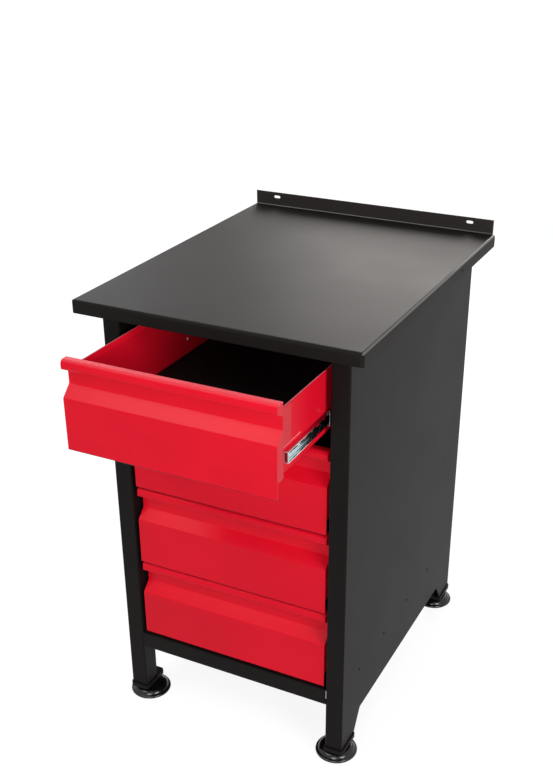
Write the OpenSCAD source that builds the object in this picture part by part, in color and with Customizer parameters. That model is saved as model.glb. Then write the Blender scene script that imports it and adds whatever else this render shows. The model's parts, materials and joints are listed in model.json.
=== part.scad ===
// Workshop drawer cabinet: a folded steel stand with a pan worktop, four drawers on
// three-part ball slides, and four levelling feet. The top drawer stands part open.
// The cabinet is laid out from its drawers: width, depth and height follow from them.

/* [Drawers] */
// Outside width of a drawer box, between its slides
box_w = 390; // [300:5:600]
// Height of a drawer front
front_h = 167; // [130:1:260]
// Gap between two drawer fronts
front_gap = 4.5; // [3:0.5:10]
// Gap between a drawer front and the post beside it
front_side_gap = 6.7; // [2:0.1:8]
// Distance that the drawer fronts stand behind the posts
front_inset = 5.5; // [0:0.5:12]
// Distance that the top drawer stands open
open_by = 190; // [0:5:480]
// Thickness of the drawer front sheet
front_t = 1.2; // [0.8:0.1:2]
// Thickness of the drawer box sheet
box_t = 1; // [0.7:0.1:1.5]
// Height of the box floor above the lower edge of the front
box_base = 32; // [15:1:40]
// Drop from the top of the front to the top of the box
box_drop = 17; // [10:1:40]
// Height of the hem that is folded down inside the top of the box
hem_h = 12; // [6:1:18]
// Space between the two layers of that hem
hem_space = 1; // [0.8:0.1:2]
// Gap between the back of the box and the back end of its slides
box_rear_gap = 6.5; // [2:0.5:40]
// Thickness of the mat on the drawer floor
mat_t = 2; // [1:0.5:5]
// Clearance round the mat
mat_gap = 1.5; // [1.5:0.5:4]

/* [Grip] */
// Height of the front edge of the grip lip
lip_h = 17; // [12:1:24]
// Distance that the lip stands behind the belly of the front
lip_set = 2; // [0:0.5:6]
// Fall of the underside of the lip towards the back
lip_fall = 8; // [2:1:12]
// Outside radius of the fold over the lip
lip_r = 8; // [3:0.5:9]
// Depth of the grip recess
grip_d = 20; // [14:1:30]
// Height of the recess floor
grip_floor_h = 24; // [16:1:40]
// Height of the slope from the recess out to the belly
slope_h = 20; // [10:1:40]
// Depth of the fold along the lower edge of the front
front_fold = 6; // [5:1:30]
// Length of the flange that laps the side of the box
lap_len = 38; // [15:1:40]

/* [Slides] */
// Length of a slide
slide_len = 600; // [500:10:700]
// Gap between box and post that a slide fills
slide_w = 12.7; // [12.7:0.1:14]
// Height of the cabinet member of a slide
slide_h = 35.2; // [34:0.2:42]
// Sheet thickness of the slide members
member_t = 1.2; // [1:0.1:1.3]
// Height of the slide above the floor of the box
slide_rise = 31; // [26:1:50]
// Running gap between the webs of the members
web_gap = 0.9; // [0.8:0.1:1]
// Radius of the balls between the cabinet and middle members
ball_r_out = 1.25; // [1.1:0.05:1.3]
// Radius of the balls between the middle and drawer members
ball_r_in = 0.95; // [0.8:0.05:1]
// Clearance of the balls in their raceways
ball_gap = 0.15; // [0.1:0.05:0.3]
// Length of a ball cage
cage_len = 150; // [100:10:200]
// Thickness of the cage strip
cage_t = 0.5; // [0.4:0.05:0.6]
// Distance from one ball to the next
ball_pitch = 24; // [12:1:30]
// Gap between the drawer front and the front end of the slides
slide_front_gap = 1.3; // [1:0.1:6]
// Gap between the back end of the slides and the back of the stand
slide_rear_gap = 11.5; // [6:0.5:40]
// Distance that the drawer members stand behind the front ends of the cabinet members
drawer_set = 11; // [2:0.5:16]
// Distance that the middle members stand behind those ends
middle_set = 70; // [0:5:70]
// Distance from those ends to the first hole in a drawer member
hole_first = 39; // [30:1:60]
// Spacing of the holes along the drawer member
hole_pitch = 25; // [25:1:50]
// Height of the rib on the box above the drawer member
rib_rise = 7.2; // [5:0.1:10]

/* [Stand] */
// Width of the posts
post_w = 35.8; // [30:0.1:60]
// Depth of the inner folds of the posts
post_d = 40; // [30:1:60]
// Sheet thickness of the stand
frame_t = 1.5; // [1:0.1:2.5]
// Outside radius of the folds of the stand
fold_r = 3; // [2.6:0.1:5]
// Height of the front rail below the drawers
rail_h = 35; // [20:1:60]
// Height of the legs from their foot plates to that rail
leg_h = 104; // [80:1:200]
// Distance that the outer sides reach down below the rail
side_drop = 60; // [20:1:70]
// Length of a leg along the floor
leg_l = 62; // [60:1:80]
// Length that a leg gains from its foot to its knee
leg_flare = 28; // [5:1:60]
// Gap between the front rail and the lowest drawer front
sill_gap = 3.5; // [2:0.5:10]
// Gap between the top drawer front and the top rail
head_gap = 3.5; // [2:0.5:10]
// Height of the top rails
top_rail_h = 18; // [15:1:40]
// Depth of the top rails
top_rail_d = 40; // [30:1:60]
// Gap between the base tray or a rail and the post beside it
rail_gap = 0.2; // [0.1:0.1:1]
// Height of the side flanges of the base tray
tray_flange = 14; // [12:1:30]
// Thickness of the back panel
back_t = 1; // [0.8:0.1:1.5]
// Distance that the back panel stands inside the edges of the stand
back_inset = 6; // [2:1:12]

/* [Worktop] */
// Overhang of the worktop at the front
over_front = 38.5; // [10:0.5:80]
// Overhang of the worktop at the back
over_rear = 22; // [8:0.5:60]
// Overhang of the worktop at each side
over_side = 36.5; // [10:0.5:80]
// Thickness of the worktop sheet
pan_t = 1.5; // [1:0.1:2.5]
// Height of the worktop apron
apron_h = 25; // [20:1:60]
// Outside radius of the worktop folds
pan_r = 6; // [3:0.5:6]
// Thickness of the board inside the worktop
core_t = 22; // [16:1:40]
// Clearance round that board
core_gap = 0.3; // [0.1:0.1:1]
// Height of the upstand above the worktop
upstand_h = 30; // [24:1:80]
// Distance from each end of the upstand to the side of the worktop
upstand_set = 5; // [2:1:40]
// Distance between the two slots in the upstand
slot_spacing = 448; // [200:2:460]
// Length of a slot
slot_l = 15; // [10:1:30]
// Height of a slot
slot_w = 6; // [4:0.5:9]
// Distance from the slots to the top edge of the upstand
slot_drop = 10; // [8:1:16]

/* [Feet] */
// Height of the foot plates above the floor
foot_h = 21.5; // [21.5:0.5:30]
// Diameter of a foot
foot_d = 84; // [50:1:90]
// Height of a foot
foot_pad_h = 16; // [12:0.5:17]
// Radius of the threaded stud
stud_r = 5; // [4:0.5:6]
// Length of the stud above its collar
stud_l = 45; // [36:1:60]
// Width of the stud's hexagonal collar across its flats
collar_af = 16; // [14:1:22]
// Thickness of the stud's collar
collar_t = 3; // [2:0.5:3]
// Running clearance of the stud in its nut and its socket
stud_gap = 0.05; // [0.02:0.01:0.1]
// Distance from the side of the stand to the middle of a foot
foot_in = 24.5; // [18:0.5:30]
// Distance from the front or the back of the stand to the middle of a foot
foot_back = 32; // [24:0.5:40]
// Distance that a foot plate stands out round its leg
plate_rim = 3; // [1:0.5:5]
// Radius of the corners of a foot plate
plate_r = 7; // [2:0.5:9]
// Thickness of a foot plate
plate_t = 9.5; // [4:0.5:12]
// Width of the nut on a foot plate across its flats
nut_af = 16; // [15:1:18]
// Height of the nut
nut_h = 8; // [6:0.5:12]

/* [Fasteners] */
// Radius of a rivet's shank
rivet_r = 2; // [1.5:0.1:2.4]
// Radius of a rivet's head
rivet_head_r = 3.8; // [3:0.1:4.5]
// Height of a rivet's head
rivet_head_h = 1.1; // [0.6:0.1:1.5]
// Clearance of rivets and screws in their holes
pin_gap = 0.05; // [0.02:0.01:0.1]
// Distance between the rivets along the base tray
tray_rivet_pitch = 129.5; // [80:0.5:140]
// Distance from the front of the stand to the first of them
tray_rivet_first = 81.5; // [60:0.5:120]
// Radius of the screws that hold the worktop
top_screw_r = 2; // [1.5:0.1:3]
// Length of those screws in the board
top_screw_l = 16; // [8:1:20]

/* [Hidden] */
drawer_rows = 4;
black = [0.10, 0.10, 0.10];
red = [0.85, 0.08, 0.14];
zinc = [0.78, 0.80, 0.80];
steel = [0.60, 0.61, 0.62];
$fn = 40;
cut = 1;

// Widths, measured from the middle of the cabinet
opening_w = box_w + 2 * slide_w;
body_w = opening_w + 2 * post_w;
top_w = body_w + 2 * over_side;
front_w = opening_w - 2 * front_side_gap;
x_post = opening_w / 2;
x_side = body_w / 2;
x_box = box_w / 2;

// Depths, measured from the front edge of the worktop
y_body0 = over_front;
y_belly = y_body0 + front_inset;
y_box0 = y_belly + grip_d + front_t;
y_slide0 = y_box0 + slide_front_gap;
y_slide1 = y_slide0 + slide_len;
y_box1 = y_slide1 - box_rear_gap;
y_body1 = y_slide1 + slide_rear_gap;
top_d = y_body1 + over_rear;
y_cage = (y_slide0 + y_slide1 - cage_len) / 2;

// Heights, measured from the floor
pitch = front_h + front_gap;
z_leg0 = foot_h + plate_t;
z_rail0 = z_leg0 + leg_h;
z_rail1 = z_rail0 + rail_h;
z_head = z_rail1 + sill_gap + drawer_rows * pitch - front_gap + head_gap;
z_stand1 = z_head + top_rail_h;
z_board1 = z_stand1 + core_t;
z_top = z_board1 + pan_t;
z_knee = z_rail0 - side_drop;
box_h = front_h - box_base - box_drop;
hem_w = 2 * box_t + hem_space;
hem_r = hem_w / 2 - 0.2;
lip_back_r = 2.5;

// Places shared by several pieces
y_rear_post = y_body1 - post_d;
y_rivet_front = (y_slide0 + y_body0 + post_d) / 2;
y_rivet_rear = (y_rear_post + y_slide1) / 2;
last_hole = 12;
rivet_past = 28.5;
rivet_end = 72;
box_rivet_at = [
    hole_first - hole_pitch / 2, hole_first + last_hole * hole_pitch + rivet_past, slide_len - rivet_end
];
foot_x = x_side - foot_in;
foot_y = [y_body0 + foot_back, y_body1 - foot_back];
screw_y = [y_body0 + top_rail_d / 2, y_body1 - top_rail_d / 2];
screw_x = [-box_w * 0.4, 0, box_w * 0.4];
tray_rivets = 1 + floor((y_rear_post - 10 - y_body0 - tray_rivet_first) / tray_rivet_pitch);
z_tray_rivet = z_rail1 + tray_flange / 2 - frame_t;
back_rows = 6;
z_back0 = z_rail0 + frame_t;
z_back1 = z_stand1 - frame_t;

// Middle of the floor under the part as it stands, with the top drawer open
y_front = min(0, y_belly - open_by);
y_mid = (y_front + top_d) / 2;

// Slide section: u runs from the post towards the drawer, v up from the middle
race_out = ball_r_out + ball_gap;
race_in = ball_r_in + ball_gap;
v_ball_out = slide_h / 2 - member_t - race_out;
v_mid = v_ball_out - race_out;
v_ball_in = v_mid - member_t - race_in;
v_drawer = v_ball_in - race_in;
u_mid = member_t + web_gap;
u_drawer = u_mid + member_t + web_gap;
u_ball = (u_drawer + slide_w - member_t) / 2 - 1.5;

// Corner of a path with its turn replaced by an arc of the given radius
function turned(a, b, c, r, n = 4) =
    let (
        p = (a - b) / norm(a - b),
        q = (c - b) / norm(c - b),
        half = acos(p * q) / 2,
        reach = r / tan(half),
        m = b + (p + q) / norm(p + q) * r / sin(half),
        s = b + p * reach - m,
        e = b + q * reach - m,
        a0 = atan2(s[1], s[0]),
        raw = atan2(e[1], e[0]) - a0,
        sweep = raw > 180 ? raw - 360 : raw < -180 ? raw + 360 : raw
    )
    [for (i = [0:n]) m + r * [cos(a0 + sweep * i / n), sin(a0 + sweep * i / n)]];

// A path with every inner corner turned; radii is one radius for each inner corner
function rounded(path, radii) =
    let (last = len(path) - 1)
    [
        path[0],
        for (i = [1:last - 1])
            for (p = turned(path[i - 1], path[i], path[i + 1], radii[i - 1])) p,
        path[last]
    ];

function left_of(d) = [-d[1], d[0]] / norm(d);

// A sheet of thickness t whose outer face follows the path and whose body is on its left
function sheet(path, t) =
    let (
        last = len(path) - 1,
        inner = [
            for (i = [0:last])
                let (
                    n0 = left_of(i == 0 ? path[1] - path[0] : path[i] - path[i - 1]),
                    n1 = left_of(i == last ? path[last] - path[last - 1] : path[i + 1] - path[i])
                )
                path[i] + t * (n0 + n1) / (1 + n0 * n1)
        ]
    )
    [each path, for (i = [last:-1:0]) inner[i]];

// Points of an arc about a centre
function arc(c, r, a0, a1, n = 8) =
    [for (i = [0:n]) c + r * [cos(a0 + (a1 - a0) * i / n), sin(a0 + (a1 - a0) * i / n)]];

// Puts the cabinet's own frame where the part's origin is
module placed() {
    translate([0, -y_mid, 0]) children();
}

// An outline in Y and Z, carried along X from x0 to x1
module along_x(x0, x1) {
    translate([x0, 0, 0]) rotate([90, 0, 90]) linear_extrude(x1 - x0) children();
}

// An outline in X and Z, carried along Y from y0 to y1
module along_y(y0, y1) {
    translate([0, y1, 0]) rotate([90, 0, 0]) linear_extrude(y1 - y0) children();
}

// A shape made once for the right side and mirrored for the left
module both_sides() {
    children();
    mirror([1, 0, 0]) children();
}

// A block from one corner to the opposite one
module block(a, b) {
    translate(a) cube(b - a);
}

// A hole or shank along X
module rod_x(x0, x1, r) {
    translate([x0, 0, 0]) rotate([0, 90, 0]) cylinder(h = x1 - x0, r = r);
}

// A hole or shank along Y
module rod_y(y0, y1, r) {
    translate([0, y1, 0]) rotate([90, 0, 0]) cylinder(h = y1 - y0, r = r);
}

// A domed rivet along Z: its head stands above z = 0, and its tail is set under the grip
module rivet(grip, head_r = rivet_head_r, head_h = rivet_head_h) {
    bulge_r = (head_r * head_r + head_h * head_h) / (2 * head_h);
    rotate_extrude()
    polygon([
        [0, -grip - head_h], [rivet_r * 1.3, -grip - head_h], [rivet_r * 1.5, -grip],
        [rivet_r, -grip], [rivet_r, 0],
        each arc([0, head_h - bulge_r], bulge_r, asin((bulge_r - head_h) / bulge_r), 90, 5)
    ]);
}

// Upper half of the cabinet member in section: its edge curls round the outer balls
function cabinet_half() =
    let (r = race_out + member_t)
    [
        each rounded([[0, 0], [0, slide_h / 2], [u_ball, slide_h / 2]], [2]),
        each arc([u_ball, v_ball_out], r, 80, -5, 7)
    ];

// Upper half of the middle member: the same form round the inner balls
function middle_half() =
    let (r = race_in + member_t)
    [
        each rounded([[u_mid, 0], [u_mid, v_mid], [u_ball, v_mid]], [2]),
        each arc([u_ball, v_ball_in], r, 80, -5, 7)
    ];

// Upper half of the drawer member: a channel that opens towards the post
function drawer_half() =
    rounded([[slide_w, 0], [slide_w, v_drawer], [u_drawer, v_drawer]], [2]);

// A channel from its upper half, which starts at the middle of the web
module channel(half, t) {
    last = len(half) - 1;
    path = [
        for (i = [last:-1:1]) half[i],
        for (i = [1:last]) [half[i][0], -half[i][1]]
    ];
    polygon(sheet(path, t));
}

// Puts a section in u and v on the right slide of drawer n
module slide_section(n, y0, y1) {
    translate([x_post, 0, z_slide(n)])
    along_y(y0, y1) mirror([1, 0]) children();
}

function z_front(n) = z_rail1 + sill_gap + (drawer_rows - n) * pitch;
function z_slide(n) = z_front(n) + box_base + slide_rise;
function opened(n) = n == 1 ? open_by : 0;

module cabinet_slide(n) {
    difference() {
        slide_section(n, y_slide0, y_slide1) channel(cabinet_half(), member_t);
        for (y = [y_rivet_front, y_rivet_rear])
            translate([0, y, z_slide(n)]) rod_x(x_post - member_t - cut, x_post + cut, rivet_r + pin_gap);
        for (i = [1:4])
            translate([0, y_slide0 + slide_len * i / 5, z_slide(n)])
            rod_x(x_post - member_t - cut, x_post + cut, 3);
    }
}

module cabinet_slides(n) {
    color(zinc) placed() both_sides() cabinet_slide(n);
}

module middle_slides(n) {
    color(zinc) placed() translate([0, -opened(n) / 2, 0]) both_sides()
    difference() {
        slide_section(n, y_slide0 + middle_set, y_slide1) channel(middle_half(), member_t);
        for (i = [0, 1], k = [0:1])
            translate([x_post - u_mid - member_t - cut,
                       i == 0 ? y_slide0 + middle_set + 18 + k * 40 : y_slide1 - 48 - k * 40,
                       z_slide(n) - 4])
            cube([member_t + 2 * cut, 30, 8]);
    }
}

module drawer_slides(n) {
    color(zinc) placed() translate([0, -opened(n), 0]) both_sides()
    difference() {
        union() {
            slide_section(n, y_slide0 + drawer_set, y_slide1) channel(drawer_half(), -member_t);
            slide_section(n, y_slide0 + drawer_set, y_slide0 + drawer_set + member_t)
            translate([u_drawer, -v_drawer + member_t / 2])
            square([slide_w - u_drawer - member_t / 2, 2 * v_drawer - member_t]);
        }
        for (d = box_rivet_at)
            translate([0, y_slide0 + d, z_slide(n)])
            rod_x(x_box - cut, x_box + member_t + cut, rivet_r + pin_gap);
        translate([0, y_slide0, z_slide(n)])
        slide_holes(last_hole, x_box - cut, x_box + member_t + cut);
    }
}

// Row of holes along the drawer member, oblong and round by turns, cut from x0 to x1
module slide_holes(last, x0, x1) {
    long = 4.5;
    high = 2.8;
    for (i = [0:last])
        translate([0, hole_first + i * hole_pitch, 0])
        if (i % 2 == 0) {
            for (s = [-1, 1])
                translate([0, s * long, 0]) rod_x(x0, x1, high);
            block([x0, -long, -high], [x1, long, high]);
        } else {
            rod_x(x0, x1, high + 0.4);
        }
}

// Section of a ball cage: a strip beside the webs with an arm to each row of balls
module cage_section(u0, v, reach) {
    polygon([
        [u0, -v - cage_t / 2], [reach, -v - cage_t / 2], [reach, -v + cage_t / 2],
        [u0 + cage_t, -v + cage_t / 2], [u0 + cage_t, v - cage_t / 2],
        [reach, v - cage_t / 2], [reach, v + cage_t / 2], [u0, v + cage_t / 2]
    ]);
}

module cage(n, u0, v, ball_r) {
    balls = floor(cage_len / ball_pitch);
    start = y_cage + (cage_len - (balls - 1) * ball_pitch) / 2;
    slide_section(n, y_cage, y_cage + cage_len) cage_section(u0, v, u_ball + ball_r * 0.6);
    for (i = [0:balls - 1], s = [-1, 1])
        translate([x_post - u_ball, start + i * ball_pitch, z_slide(n) + s * v])
        sphere(r = ball_r, $fn = 16);
}

module outer_cages(n) {
    color(steel) placed() translate([0, -opened(n) / 4, 0]) both_sides()
    cage(n, member_t + (web_gap - cage_t) / 2, v_ball_out, ball_r_out);
}

module inner_cages(n) {
    color(steel) placed() translate([0, -opened(n) * 3 / 4, 0]) both_sides()
    cage(n, u_mid + member_t + (web_gap - cage_t) / 2, v_ball_in, ball_r_in);
}

// Rivets from the cabinet members into the posts, set flat on the slide side
module slide_rivets() {
    color(zinc) placed() both_sides()
    for (n = [1:drawer_rows], y = [y_rivet_front, y_rivet_rear])
        translate([x_post - member_t, y, z_slide(n)]) rotate([0, -90, 0])
        rivet(member_t + frame_t, rivet_head_r, web_gap * 0.6);
}

// Outline of a drawer front, from its lower fold round to the back of its lip
function front_path() =
    let (
        z_lip = front_h - lip_h,
        z_under = z_lip - lip_fall,
        z_floor = z_under - grip_floor_h,
        y_lip = lip_set,
        y_back = grip_d + front_t
    )
    rounded(
        [
            [front_fold, 0], [0, 0], [0, z_floor - slope_h], [grip_d, z_floor],
            [grip_d, z_under], [y_lip, z_lip], [y_lip, front_h], [y_back, front_h],
            [y_back, z_under + 3 * front_t]
        ],
        [2, 2.5, 2, 2, 3.5, lip_r, lip_back_r]
    );

// Outline of the plate that closes an end of the lip, drawn to the middle of the sheet round it
function lip_end() =
    let (
        h = front_t / 2,
        z_lip = front_h - lip_h + h * 0.7,
        y_lip = lip_set + h,
        y_back = grip_d + h
    )
    rounded(
        [
            [y_back, z_lip - lip_fall], [y_back, front_h - h],
            [y_lip, front_h - h], [y_lip, z_lip]
        ],
        [lip_back_r - h, lip_r - h]
    );

module drawer_front(n) {
    x1 = front_w / 2;
    z_floor = front_h - lip_h - lip_fall - grip_floor_h;
    z_notch = box_base + slide_rise + slide_h / 2 + 2;
    color(red) placed() translate([0, y_belly - opened(n), z_front(n)]) {
        along_x(-x1, x1)
        polygon(sheet(front_path(), -front_t));
        both_sides() {
            along_x(x1 - front_t, x1) {
                polygon([
                    [front_t / 2, box_base], [front_t / 2, z_floor - slope_h + 0.5],
                    [grip_d + front_t / 2, z_floor], [grip_d + front_t, z_floor],
                    [grip_d + front_t, box_base]
                ]);
                polygon(lip_end());
            }
            block([x_box, grip_d, z_notch], [x1 - front_t / 2, grip_d + front_t, z_floor]);
            block([x_box, grip_d + front_t / 2, z_notch],
                  [x_box + front_t, grip_d + front_t + lap_len, front_h - box_drop - 1]);
        }
    }
}

module drawer_box(n) {
    color(red) placed() translate([0, -opened(n), z_front(n) + box_base])
    difference() {
        union() {
            box_trough();
            both_sides()
            block([x_box - box_t / 2, y_slide0 + 3, slide_rise + v_drawer + rib_rise],
                  [x_box + 1.8, y_slide0 + 70, slide_rise + v_drawer + rib_rise + 1.2]);
        }
        both_sides() {
            for (d = box_rivet_at)
                translate([0, y_slide0 + d, slide_rise])
                rod_x(x_box - box_t - cut, x_box + cut, rivet_r + pin_gap);
            translate([0, y_slide0, slide_rise]) slide_holes(3, x_box - box_t - cut, x_box + cut);
        }
    }
}

// The two end walls of the box, welded in between its sides
module drawer_ends(n) {
    color(red) placed() translate([0, -opened(n), z_front(n) + box_base]) {
        translate([0, y_box0, 0]) box_end();
        translate([0, y_box1, 0]) mirror([0, 1, 0]) box_end();
    }
}

// The floor and two sides of the box, folded from one sheet
module box_trough() {
    path = rounded(
        [
            [-x_box + hem_w, box_h - hem_h], [-x_box + hem_w, box_h], [-x_box, box_h],
            [-x_box, 0], [x_box, 0],
            [x_box, box_h], [x_box - hem_w, box_h], [x_box - hem_w, box_h - hem_h]
        ],
        [hem_r, hem_r, 2, 2, hem_r, hem_r]
    );
    along_y(y_box0, y_box1) polygon(sheet(path, box_t));
}

// An end wall of the box at its front; its hem runs between the hems of the sides
module box_end() {
    x_hem = x_box - hem_w;
    x_wall = x_box - box_t;
    z_hem = box_h - hem_h;
    z_wall = z_hem - 1;
    corner = 1.1;
    path = rounded(
        [[hem_w, z_hem], [hem_w, box_h], [0, box_h], [0, z_hem - 2]],
        [hem_r, hem_r]
    );
    along_x(-x_hem, x_hem) polygon(sheet(path, box_t));
    along_y(0, box_t)
    polygon([
        [corner - x_wall, box_t], [x_wall - corner, box_t], [x_wall, box_t + corner],
        [x_wall, z_wall], [-x_wall, z_wall], [-x_wall, box_t + corner]
    ]);
}

module drawer_mat(n) {
    x1 = x_box - box_t - mat_gap;
    color(black) placed() translate([0, -opened(n), z_front(n) + box_base + box_t])
    block([-x1, y_box0 + box_t + mat_gap, 0], [x1, y_box1 - box_t - mat_gap, mat_t]);
}

// Rivets that hold the drawer members to the box
module drawer_rivets(n) {
    color(zinc) placed() translate([0, -opened(n), z_slide(n)]) both_sides()
    for (d = box_rivet_at)
        translate([x_box + member_t, y_slide0 + d, 0]) rotate([0, 90, 0])
        rivet(member_t + box_t);
}

// Right side of the stand: one sheet folded into a wall, two posts and their inner folds
module side_frame() {
    path = rounded(
        [
            [x_post, y_body0 + post_d], [x_post, y_body0], [x_side, y_body0],
            [x_side, y_body1], [x_post, y_body1], [x_post, y_rear_post]
        ],
        [fold_r, fold_r, fold_r, fold_r]
    );
    difference() {
        translate([0, 0, z_leg0]) linear_extrude(z_stand1 - z_leg0)
        polygon(sheet(path, frame_t));
        along_x(x_side - frame_t - cut, x_side + cut) polygon(leg_gap());
        for (i = [0:tray_rivets - 1])
            translate([0, y_tray_rivet(i), z_tray_rivet])
            rod_x(x_side - frame_t - cut, x_side + cut, rivet_r + pin_gap);
        for (n = [1:drawer_rows], y = [y_rivet_front, y_rivet_rear])
            translate([0, y, z_slide(n)]) rod_x(x_post - cut, x_post + frame_t + cut, rivet_r + pin_gap);
        back_rivet_holes();
    }
}

function y_tray_rivet(i) = y_body0 + tray_rivet_first + i * tray_rivet_pitch;

// Opening between the legs, seen from the side
function leg_gap() =
    let (
        y0 = y_body0 + leg_l,
        y1 = y_body1 - leg_l,
        fall = leg_flare / (z_knee - z_leg0)
    )
    rounded(
        [
            [y0 - fall * cut, z_leg0 - cut], [y0 + leg_flare, z_knee],
            [y1 - leg_flare, z_knee], [y1 + fall * cut, z_leg0 - cut]
        ],
        [6, 6]
    );

module side_frame_right() {
    color(black) placed() side_frame();
}

module side_frame_left() {
    color(black) placed() mirror([1, 0, 0]) side_frame();
}

// Floor of the stand: front and rear rails folded down, side flanges folded up
module base_tray() {
    x1 = x_side - frame_t - rail_gap;
    x0 = x_post - rail_gap;
    y0 = y_body0 + post_d + rail_gap;
    y1 = y_rear_post - rail_gap;
    r = fold_r;
    color(black) placed() difference() {
        union() {
            along_x(-x0, x0)
            polygon(sheet(
                rounded(
                    [
                        [y_body0 + 16, z_rail0], [y_body0, z_rail0], [y_body0, z_rail1],
                        [y_body1, z_rail1], [y_body1, z_rail0], [y_body1 - 16, z_rail0]
                    ],
                    [r, r, r, r]
                ),
                -frame_t
            ));
            along_y(y0, y1)
            polygon(sheet(
                rounded(
                    [
                        [-x1, z_rail1 + tray_flange - frame_t], [-x1, z_rail1 - frame_t],
                        [x1, z_rail1 - frame_t], [x1, z_rail1 + tray_flange - frame_t]
                    ],
                    [r, r]
                ),
                frame_t
            ));
        }
        for (i = [0:tray_rivets - 1], s = [-1, 1])
            translate([s * x1, y_tray_rivet(i), z_tray_rivet])
            rod_x(-frame_t - cut, frame_t + cut, rivet_r + pin_gap);
        for (x = back_x())
            translate([x, 0, z_back0 + 10]) rod_y(y_body1 - frame_t - cut, y_body1 + cut, rivet_r + pin_gap);
    }
}

// Section of a top rail in Y and Z: a face with a flange folded back under the worktop
module top_rail(face_y, dir) {
    path = rounded(
        [
            [face_y + dir * 10, z_head], [face_y, z_head], [face_y, z_stand1],
            [face_y + dir * top_rail_d, z_stand1]
        ],
        [fold_r, fold_r]
    );
    x1 = x_post - rail_gap;
    difference() {
        union() {
            along_x(-x1, x1) polygon(sheet(path, -dir * frame_t));
            both_sides()
            along_x(x1 - frame_t, x1)
            polygon([
                [face_y + dir * frame_t / 2, z_head + fold_r],
                [face_y + dir * frame_t / 2, z_stand1 - frame_t / 2],
                [face_y + dir * (top_rail_d - 4), z_stand1 - frame_t / 2],
                [face_y + dir * (top_rail_d - 4), z_head + fold_r]
            ]);
        }
        for (x = screw_x)
            translate([x, face_y + dir * top_rail_d / 2, z_stand1 - frame_t - cut])
            cylinder(h = frame_t + 2 * cut, r = top_screw_r + pin_gap);
        if (dir < 0)
            for (x = back_x())
                translate([x, 0, z_stand1 - top_rail_h / 2])
                rod_y(y_body1 - frame_t - cut, y_body1 + cut, rivet_r + pin_gap);
    }
}

module top_rail_front() {
    color(black) placed() top_rail(y_body0, 1);
}

module top_rail_rear() {
    color(black) placed() top_rail(y_body1, -1);
}

// Places of the rivets along the top and bottom of the back panel
function back_x() = [-x_post * 0.6, 0, x_post * 0.6];

// Height of rivet i up each side of the back panel
function back_z(i) = z_back0 + 10 + i * (z_back1 - z_back0 - 20) / (back_rows - 1);

module back_rivet_holes() {
    for (i = [0:back_rows - 1])
        translate([(x_post + x_side) / 2, 0, back_z(i)])
        rod_y(y_body1 - frame_t - cut, y_body1 + back_t + cut, rivet_r + pin_gap);
}

module back_panel() {
    x1 = x_side - back_inset;
    color(black) placed() difference() {
        block([-x1, y_body1, z_back0], [x1, y_body1 + back_t, z_back1]);
        both_sides() back_rivet_holes();
        for (x = back_x(), z = [z_back0 + 10, z_stand1 - top_rail_h / 2])
            translate([x, 0, z]) rod_y(y_body1 - cut, y_body1 + back_t + cut, rivet_r + pin_gap);
    }
}

module back_rivets() {
    color(black) placed() {
        both_sides()
        for (i = [0:back_rows - 1])
            translate([(x_post + x_side) / 2, y_body1 + back_t, back_z(i)])
            rotate([-90, 0, 0]) rivet(back_t + frame_t);
        for (x = back_x(), z = [z_back0 + 10, z_stand1 - top_rail_h / 2])
            translate([x, y_body1 + back_t, z]) rotate([-90, 0, 0]) rivet(back_t + frame_t);
    }
}

// Rivets from the sides of the stand into the base tray
module stand_rivets() {
    color(black) placed() both_sides()
    for (i = [0:tray_rivets - 1])
        translate([x_side, y_tray_rivet(i), z_tray_rivet]) rotate([0, 90, 0])
        rivet(2 * frame_t + rail_gap);
}

// A box with rounded edges, open or closed at the back: three outlines, intersected
module pan_block(x1, y0, y1, z0, z1, r) {
    intersection() {
        along_y(y0, y1)
        union() {
            translate([-x1, z0]) square([2 * x1, z1 - r - z0]);
            translate([-x1 + r, z0]) square([2 * (x1 - r), z1 - z0]);
            for (s = [-1, 1])
                translate([s * (x1 - r), z1 - r]) circle(r = r);
        }
        along_x(-x1, x1)
        union() {
            translate([y0, z0]) square([y1 - y0, z1 - r - z0]);
            translate([y0 + r, z0]) square([y1 - y0 - r, z1 - z0]);
            translate([y0 + r, z1 - r]) circle(r = r);
        }
        translate([0, 0, z0]) linear_extrude(z1 - z0)
        union() {
            translate([-x1, y0 + r]) square([2 * x1, y1 - y0 - r]);
            translate([-x1 + r, y0]) square([2 * (x1 - r), y1 - y0]);
            for (s = [-1, 1])
                translate([s * (x1 - r), y0 + r]) circle(r = r);
        }
    }
}

// The worktop: a folded pan whose back edge stands up, with two slots in it
module worktop_pan() {
    x1 = top_w / 2;
    xu = x1 - upstand_set;
    z_slot = z_top + upstand_h - slot_drop;
    color(black) placed() difference() {
        union() {
            difference() {
                pan_block(x1, 0, top_d, z_top - apron_h, z_top, pan_r);
                pan_block(x1 - pan_t, pan_t, top_d + cut, z_top - apron_h - cut, z_board1, pan_r - pan_t);
            }
            along_x(-xu, xu) union() {
                translate([top_d - pan_t, z_top - pan_t]) square([pan_t, upstand_h + pan_t]);
                difference() {
                    translate([top_d - pan_t - 2, z_top - 0.2]) square([2.2, 2.2]);
                    translate([top_d - pan_t - 2, z_top + 2]) circle(r = 2);
                }
            }
        }
        for (x = [-1, 1])
            translate([x * slot_spacing / 2, 0, z_slot]) {
                for (e = [-1, 1])
                    translate([e * (slot_l - slot_w) / 2, 0, 0])
                    rod_y(top_d - pan_t - cut, top_d + cut, slot_w / 2);
                block([-(slot_l - slot_w) / 2, top_d - pan_t - cut, -slot_w / 2],
                      [(slot_l - slot_w) / 2, top_d + cut, slot_w / 2]);
            }
    }
}

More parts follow.
